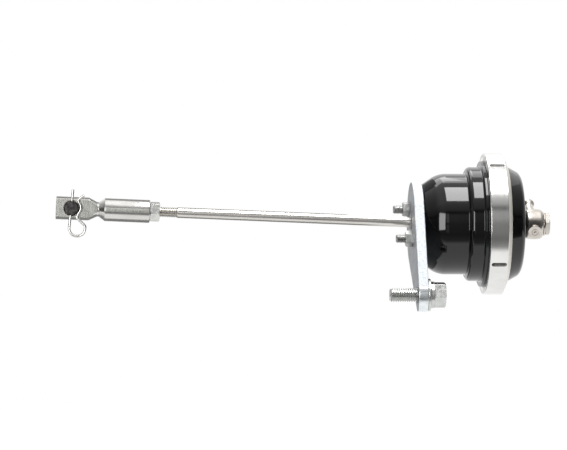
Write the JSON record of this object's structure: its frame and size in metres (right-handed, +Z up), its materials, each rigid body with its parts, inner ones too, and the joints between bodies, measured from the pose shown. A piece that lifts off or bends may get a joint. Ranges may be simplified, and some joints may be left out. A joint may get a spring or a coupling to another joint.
{
  "type": "wastegate actuator",
  "caption": "Pull-rod wastegate actuator: black canister with locking collar, hose union, bolt-on bracket and a long adjustable rod ending in an eye on the lever's pin.",
  "frame": {"origin": "axis of the mounting bolt where the bracket seats on the engine", "axes": "+X along the canister's axis from the rod towards the hose union, -X the way the engine's boss leaves the bolt, +Z up, -Y the side with the lug"},
  "size_m": [0.2792, 0.0883, 0.0886],
  "materials": {
    "black_anodised": "gloss black anodised, turned",
    "satin_anodised": "satin clear anodised, turned",
    "zinc_plate": "bright zinc plate on cut steel",
    "zinc_fastener": "bright blue zinc plate",
    "stainless": "ground and turned stainless",
    "dark_steel": "heat-darkened steel",
    "spring_wire": "bright spring wire",
    "nickel": "warm bright nickel plate",
    "raw_aluminium": "as machined",
    "spring_steel": "oil-tempered",
    "fabric_rubber": "cloth-backed rubber"
  },
  "bodies": {
    "canister": {"canister_body": "black_anodised", "locking_collar": "satin_anodised", "end_cap": "black_anodised", "diaphragm": "fabric_rubber", "outer_spring": "spring_steel", "inner_spring": "spring_steel", "bracket": "zinc_plate", "bracket_studs": "zinc_fastener", "bracket_stud_nuts": "zinc_fastener", "flat_washer": "zinc_fastener", "spring_washer": "zinc_fastener", "mounting_bolt": "zinc_fastener", "banjo_inner_washer": "raw_aluminium", "banjo_outer_washer": "nickel", "banjo_bolt": "nickel"},
    "piston": {"piston": "raw_aluminium", "diaphragm_retainer": "raw_aluminium", "ball_plug": "stainless"},
    "rod": {"rod": "stainless"},
    "jam_nut": {"jam_nut": "zinc_fastener"},
    "rod_end": {"rod_end": "stainless"},
    "lever_pin": {"lever_pin": "dark_steel", "retaining_clip": "spring_wire"},
    "banjo": {"banjo_fitting": "nickel"}
  },
  "joints": [
    {"name": "piston_stroke", "type": "slide", "parent": "canister", "child": "piston", "axis": [-1, 0, 0], "range_m": [0, 0.011], "stiffness_N_per_m": 10000, "springref_m": -0.011, "deforming": ["outer_spring", "inner_spring", "diaphragm"]},
    {"name": "rod_swing", "type": "hinge", "parent": "piston", "child": "rod", "pos_m": [0.027, 0.039, 0.0393], "axis": [0, 1, 0], "range_deg": [-7.8, 3.1]},
    {"name": "rod_end_travel", "type": "slide", "parent": "rod", "child": "jam_nut", "axis": [-0.9992, 0, 0.0407], "range_m": [-0.005, 0.005]},
    {"name": "rod_end_turn", "type": "hinge", "parent": "jam_nut", "child": "rod_end", "pos_m": [-0.14746, 0.039, 0.0464], "axis": [-0.9992, 0, 0.0407], "range_deg": [-1801, 1801]},
    {"name": "lever_swing", "type": "hinge", "parent": "rod_end", "child": "lever_pin", "pos_m": [-0.19172, 0.039, 0.0482], "axis": [0, 1, 0], "range_deg": [-35, 35]},
    {"name": "union_swivel", "type": "hinge", "parent": "canister", "child": "banjo", "pos_m": [0.06965, 0.039, 0.0393], "axis": [1, 0, 0], "continuous": true}
  ],
  "couplings": [
    {"joint": "rod_end_turn", "follows": "rod_end_travel", "rad_per_m": 6283.2}
  ]
}
